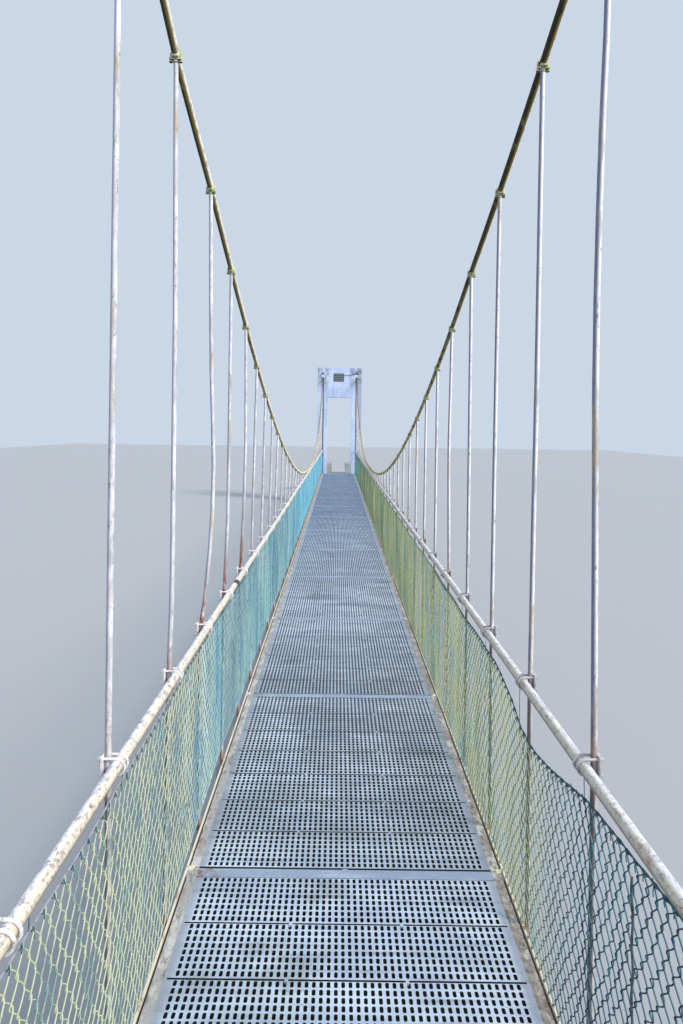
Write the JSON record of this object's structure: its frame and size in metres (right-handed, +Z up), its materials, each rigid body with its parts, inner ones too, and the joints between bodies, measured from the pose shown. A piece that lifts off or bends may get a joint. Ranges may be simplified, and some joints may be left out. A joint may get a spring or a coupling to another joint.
{
  "type": "suspension footbridge",
  "caption": "Narrow suspension footbridge: perforated plank deck hung by rods from two cables, mesh sides, tube handrails, concrete portals.",
  "frame": {"origin": "on the lowest ground, under the middle of the deck", "axes": "+Y along the walk from the near portal to the far one, +X to the right, +Z up"},
  "size_m": [2.02, 39.502, 6.386],
  "materials": {
    "concrete": "white-painted rough concrete, weathered",
    "casting": "dark weathered casting",
    "cable": "olive, lichen-covered wire rope and clamps",
    "rail": "cream paint, stained and chipped",
    "mesh_wire": "plastic-coated wire, sun-bleached",
    "frame_steel": "dull galvanised steel and painted rods, brown with dirt and rust",
    "galvanised_plank": "weathered zinc, matt"
  },
  "bodies": {
    "root": {"near_abutment": "concrete", "far_abutment": "concrete", "near_portal": "concrete", "far_portal": "concrete", "near_anchor_left": "concrete", "near_saddle_left": "casting", "near_anchor_right": "concrete", "near_saddle_right": "casting", "far_anchor_left": "concrete", "far_saddle_left": "casting", "far_anchor_right": "concrete", "far_saddle_right": "casting", "main_cable_left": "cable", "handrail_left": "rail", "wire_mesh_left": "mesh_wire", "main_cable_right": "cable", "handrail_right": "rail", "wire_mesh_right": "mesh_wire", "deck_frame_01": "frame_steel", "deck_panel_01": "galvanised_plank", "deck_frame_02": "frame_steel", "deck_panel_02": "galvanised_plank", "deck_frame_03": "frame_steel", "deck_panel_03": "galvanised_plank", "deck_frame_04": "frame_steel", "deck_panel_04": "galvanised_plank", "deck_frame_05": "frame_steel", "deck_panel_05": "galvanised_plank", "deck_frame_06": "frame_steel", "deck_panel_06": "galvanised_plank", "deck_frame_07": "frame_steel", "deck_panel_07": "galvanised_plank", "deck_frame_08": "frame_steel", "deck_panel_08": "galvanised_plank", "deck_frame_09": "frame_steel", "deck_panel_09": "galvanised_plank", "deck_frame_10": "frame_steel", "deck_panel_10": "galvanised_plank", "deck_frame_11": "frame_steel", "deck_panel_11": "galvanised_plank", "deck_frame_12": "frame_steel", "deck_panel_12": "galvanised_plank", "deck_frame_13": "frame_steel", "deck_panel_13": "galvanised_plank", "deck_frame_14": "frame_steel", "deck_panel_14": "galvanised_plank", "deck_frame_15": "frame_steel", "deck_panel_15": "galvanised_plank"}
  },
  "joints": []
}
